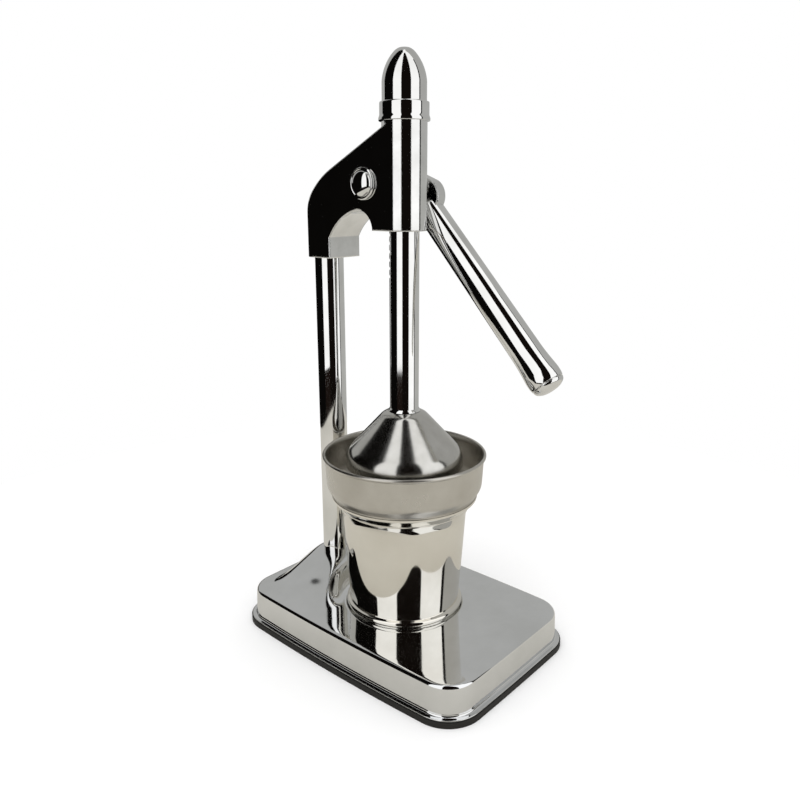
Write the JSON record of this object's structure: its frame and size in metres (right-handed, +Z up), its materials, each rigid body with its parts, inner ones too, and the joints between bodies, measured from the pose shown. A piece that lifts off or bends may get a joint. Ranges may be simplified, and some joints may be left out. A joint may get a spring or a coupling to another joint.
{
  "type": "lever citrus juice press",
  "caption": "Table press for citrus: a side lever turns a pinion that drives a toothed rod and cone down into a strainer over a juice cup, on a pressed steel base with a column.",
  "frame": {"origin": "centre of the base outline on the surface the press stands on", "axes": "+Z up, +Y from the cup towards the column, +X towards the lever side"},
  "size_m": [0.13, 0.1875, 0.3535],
  "materials": {
    "chrome_plate": "mirror-polished chrome plate",
    "black_rubber": "matt black moulded rubber",
    "zinc_steel": "zinc-plated steel",
    "bronze": "plain bronze",
    "polished_stainless": "polished stainless sheet",
    "satin_stainless": "satin stainless sheet"
  },
  "bodies": {
    "frame": {"base_pan": "chrome_plate", "base_rim_seal": "black_rubber", "base_bottom_plate": "zinc_steel", "base_posts": "zinc_steel", "plate_screws": "zinc_steel", "column_backing_plate": "zinc_steel", "column_bolt_washer": "zinc_steel", "column_bolt": "zinc_steel", "column_foot_plug": "zinc_steel", "column_tube": "chrome_plate", "head_casting": "chrome_plate", "head_set_screw": "zinc_steel", "rod_bush_low": "bronze", "rod_bush_high": "bronze", "top_cap": "chrome_plate", "shaft_bush_left": "bronze", "shaft_bush_right": "bronze"},
    "lever": {"pinion_gear": "zinc_steel", "pinion_shaft": "zinc_steel", "shaft_dome_cap": "chrome_plate", "lever_arm": "chrome_plate", "lever_arm_screw": "chrome_plate", "lever_handle_tube": "chrome_plate", "handle_end_plug": "chrome_plate"},
    "press": {"rack_rod": "chrome_plate", "press_cone": "satin_stainless", "rod_base_ring": "chrome_plate", "cone_washer": "zinc_steel", "cone_nut": "zinc_steel"},
    "cup": {"juice_cup": "polished_stainless"},
    "strainer": {"strainer_bowl": "satin_stainless", "reamer": "satin_stainless"}
  },
  "joints": [
    {"name": "lever_turn", "type": "hinge", "parent": "frame", "child": "lever", "pos_m": [0, 0.0173, 0.283], "axis": [1, 0, 0], "range_deg": [-180, 0]},
    {"name": "rod_slide", "type": "slide", "parent": "frame", "child": "press", "axis": [0, 0, 1], "range_m": [0, 0.0425]},
    {"name": "cup_lift", "type": "slide", "parent": "frame", "child": "cup", "axis": [0, 0, 1], "range_m": [0, 0.004]},
    {"name": "strainer_lift", "type": "slide", "parent": "cup", "child": "strainer", "axis": [0, 0, 1], "range_m": [0, 0.004]}
  ],
  "couplings": [
    {"joint": "rod_slide", "follows": "lever_turn", "m_per_rad": -0.0135}
  ]
}
